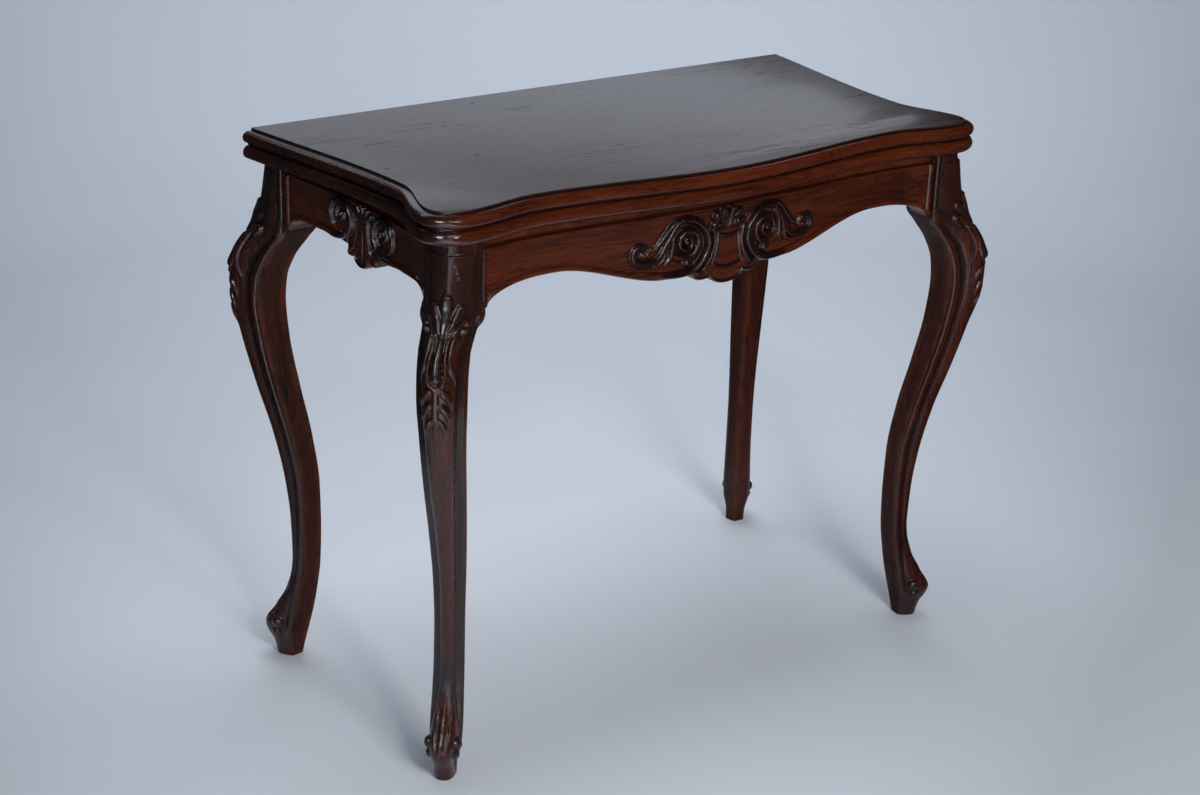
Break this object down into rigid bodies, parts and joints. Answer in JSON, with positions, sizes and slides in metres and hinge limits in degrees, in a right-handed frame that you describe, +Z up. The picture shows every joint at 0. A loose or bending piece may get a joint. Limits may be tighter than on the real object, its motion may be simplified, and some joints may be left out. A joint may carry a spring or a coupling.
{
  "type": "folding top table",
  "caption": "Side table with carved cabriole legs and a serpentine frame; its hinged double top turns on a pivot and opens flat to make a baize-lined card table.",
  "frame": {"origin": "on the floor under the centre of the table", "axes": "+X to the right along the table's length, +Y to its straight back, +Z up; the serpentine front faces -Y"},
  "size_m": [0.9084, 0.4964, 0.75],
  "materials": {
    "mahogany": "dark stained and French polished, worn",
    "secondary_wood": "sawn and left bare",
    "baize": "napped wool cloth",
    "brass": "dull, aged",
    "iron": "dark, forged"
  },
  "bodies": {
    "frame": {"leg_front_left": "mahogany", "leg_front_right": "mahogany", "leg_back_left": "mahogany", "leg_back_right": "mahogany", "front_apron": "mahogany", "left_apron": "mahogany", "right_apron": "mahogany", "back_apron": "mahogany", "well_bottom": "secondary_wood", "well_partition": "secondary_wood", "ledger_front": "secondary_wood", "ledger_back": "secondary_wood", "pivot_rail": "secondary_wood", "pivot_bush": "brass"},
    "lower_top": {"lower_leaf": "mahogany", "lower_baize": "baize", "lower_hinge_plate_left": "brass", "lower_hinge_plate_right": "brass", "lower_hinge_screw_left_1": "brass", "lower_hinge_screw_left_2": "brass", "lower_hinge_screw_left_3": "brass", "lower_hinge_screw_right_1": "brass", "lower_hinge_screw_right_2": "brass", "lower_hinge_screw_right_3": "brass", "hinge_pin_left": "brass", "hinge_pin_right": "brass", "pivot_bolt": "iron", "pivot_screw_1": "iron", "pivot_screw_2": "iron", "pivot_screw_3": "iron", "pivot_washer": "iron", "pivot_nut": "iron", "stop_peg": "secondary_wood"},
    "upper_top": {"upper_leaf": "mahogany", "upper_baize": "baize", "upper_hinge_plate_left": "brass", "upper_hinge_plate_right": "brass", "upper_hinge_screw_left_1": "brass", "upper_hinge_screw_left_2": "brass", "upper_hinge_screw_left_3": "brass", "upper_hinge_screw_right_1": "brass", "upper_hinge_screw_right_2": "brass", "upper_hinge_screw_right_3": "brass"}
  },
  "joints": [
    {"name": "top_swivel", "type": "hinge", "parent": "frame", "child": "lower_top", "pos_m": [0.102, 0.102, 0.7081], "axis": [0, 0, 1], "range_deg": [0, 90]},
    {"name": "leaf_fold", "type": "hinge", "parent": "lower_top", "child": "upper_top", "pos_m": [0, 0.2043, 0.7292], "axis": [-1, 0, 0], "range_deg": [0, 180]}
  ]
}
